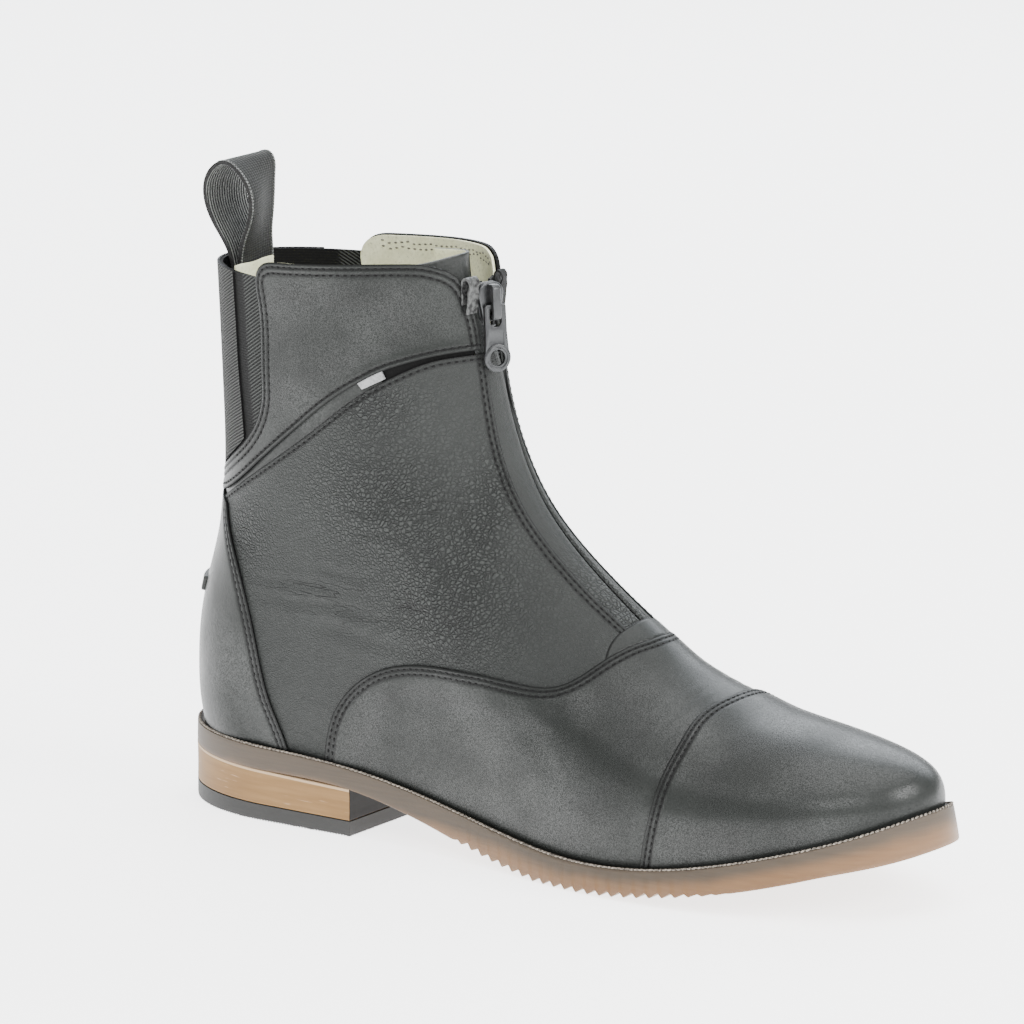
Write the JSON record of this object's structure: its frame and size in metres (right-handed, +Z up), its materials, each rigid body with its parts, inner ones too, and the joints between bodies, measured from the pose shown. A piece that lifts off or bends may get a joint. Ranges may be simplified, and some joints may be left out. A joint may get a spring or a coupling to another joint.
{
  "type": "zip riding boot",
  "caption": "Black leather ankle riding boot with a front zip, toe cap, elastic back gusset, pull loop, gum sole and stacked heel.",
  "frame": {"origin": "on the floor under the middle of the heel", "axes": "+X towards the toe, +Y towards the inner side of the foot, +Z up"},
  "size_m": [0.2886, 0.0918, 0.2178],
  "materials": {
    "leather": "polished black leather",
    "lining": "cream lining",
    "elastic": "ribbed elastic",
    "webbing": "ribbed webbing",
    "gum_rubber": "gum rubber",
    "welt": "rough taupe edge",
    "stacked_heel": "stacked layers",
    "black_rubber": "matt",
    "zip_metal": "black lacquer",
    "zip_tape": "woven tape"
  },
  "bodies": {
    "boot": {"outsole": "gum_rubber", "welt": "welt", "heel_stack": "stacked_heel", "heel_top_lift": "black_rubber", "insole": "lining", "upper": "leather", "elastic_gusset": "elastic", "back_strap": "webbing", "pull_loop": "webbing", "spur_rest": "leather", "zip_tape": "zip_tape", "zip_teeth": "zip_metal", "zip_guard": "leather", "zip_slider": "zip_metal"},
    "zip_pull": {"zip_pull": "zip_metal"}
  },
  "joints": [
    {"name": "zip_pull_swing", "type": "hinge", "parent": "boot", "child": "zip_pull", "pos_m": [0.07847, 0.00032, 0.17888], "axis": [0, -1, 0], "range_deg": [0, 140]}
  ]
}
